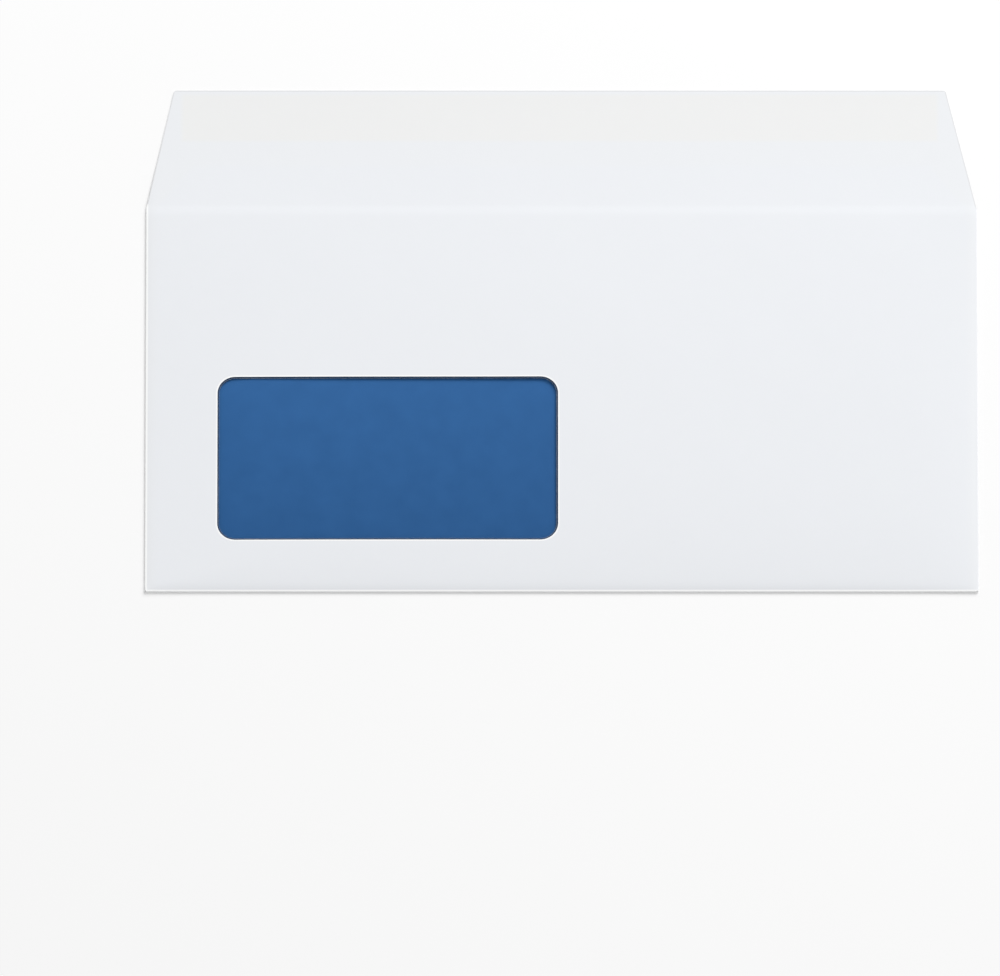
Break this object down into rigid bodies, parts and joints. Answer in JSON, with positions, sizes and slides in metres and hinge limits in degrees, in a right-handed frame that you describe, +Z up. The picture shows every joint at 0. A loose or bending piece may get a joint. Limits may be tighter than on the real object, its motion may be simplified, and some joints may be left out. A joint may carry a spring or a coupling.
{
  "type": "paper envelope",
  "caption": "Long white paper envelope with a clear address window, lying face up on its back panel with the trapezoid seal flap open.",
  "frame": {"origin": "centre of the closed body's outline, on the surface that the back panel lies on", "axes": "+X along the width with the window at -X, +Y from the bottom fold towards the flap, +Z up out of the face"},
  "size_m": [0.22, 0.1442, 0.0016],
  "materials": {
    "white_paper": "matte",
    "clear_film": "gloss",
    "film_glue": "satin",
    "dry_gum": "satin",
    "seam_glue": "satin"
  },
  "bodies": {
    "root": {"envelope_paper": "white_paper", "window_film": "clear_film", "window_glue": "film_glue", "flap_gum": "dry_gum", "seam_glue_left": "seam_glue", "seam_glue_right": "seam_glue"}
  },
  "joints": []
}
